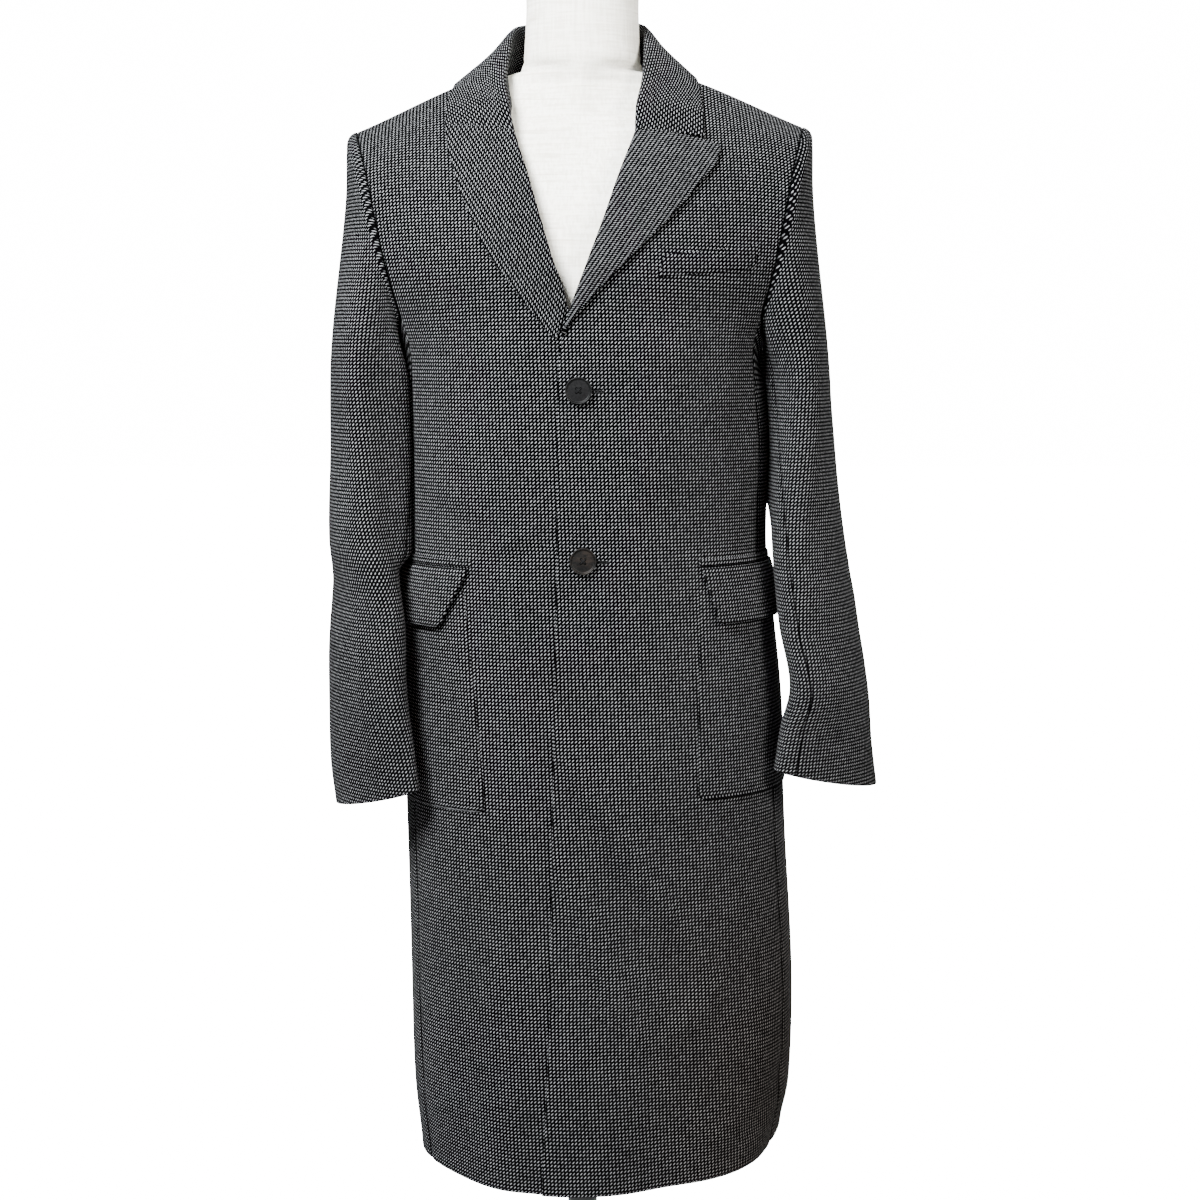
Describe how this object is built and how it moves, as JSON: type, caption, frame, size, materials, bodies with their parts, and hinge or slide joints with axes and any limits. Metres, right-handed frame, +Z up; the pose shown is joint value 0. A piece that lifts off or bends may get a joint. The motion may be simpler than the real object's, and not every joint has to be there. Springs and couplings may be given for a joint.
{
  "type": "chesterfield coat on a limbless dress form",
  "caption": "Long single-breasted overcoat in woven wool, buttoned and worn by a limbless dress form on a pole with a round base.",
  "frame": {"origin": "centre of the base plate's underside, on the floor", "axes": "+Z up, the coat's front faces -Y, +X towards the wearer's left"},
  "size_m": [0.5485, 0.4, 1.536],
  "materials": {
    "coat_cloth": "dry woollen weave of short pale dashes on a near-black ground",
    "button_horn": "dark polished horn look with a raised rim and faint brown marbling",
    "form_linen": "cream plain-woven linen, stretched smooth",
    "stand_steel": "satin black powder coat"
  },
  "bodies": {
    "root": {"front_left": "coat_cloth", "side_left": "coat_cloth", "back_left": "coat_cloth", "front_right": "coat_cloth", "side_right": "coat_cloth", "back_right": "coat_cloth", "top_sleeve_left": "coat_cloth", "under_sleeve_left": "coat_cloth", "top_sleeve_right": "coat_cloth", "under_sleeve_right": "coat_cloth", "collar": "coat_cloth", "lapel_left": "coat_cloth", "lapel_right": "coat_cloth", "pocket_left": "coat_cloth", "pocket_right": "coat_cloth", "flap_left": "coat_cloth", "flap_right": "coat_cloth", "flap_welt_left": "coat_cloth", "flap_welt_right": "coat_cloth", "breast_welt": "coat_cloth", "button_upper": "button_horn", "button_lower": "button_horn", "dress_form": "form_linen", "stand_pole": "stand_steel", "base_plate": "stand_steel"}
  },
  "joints": []
}
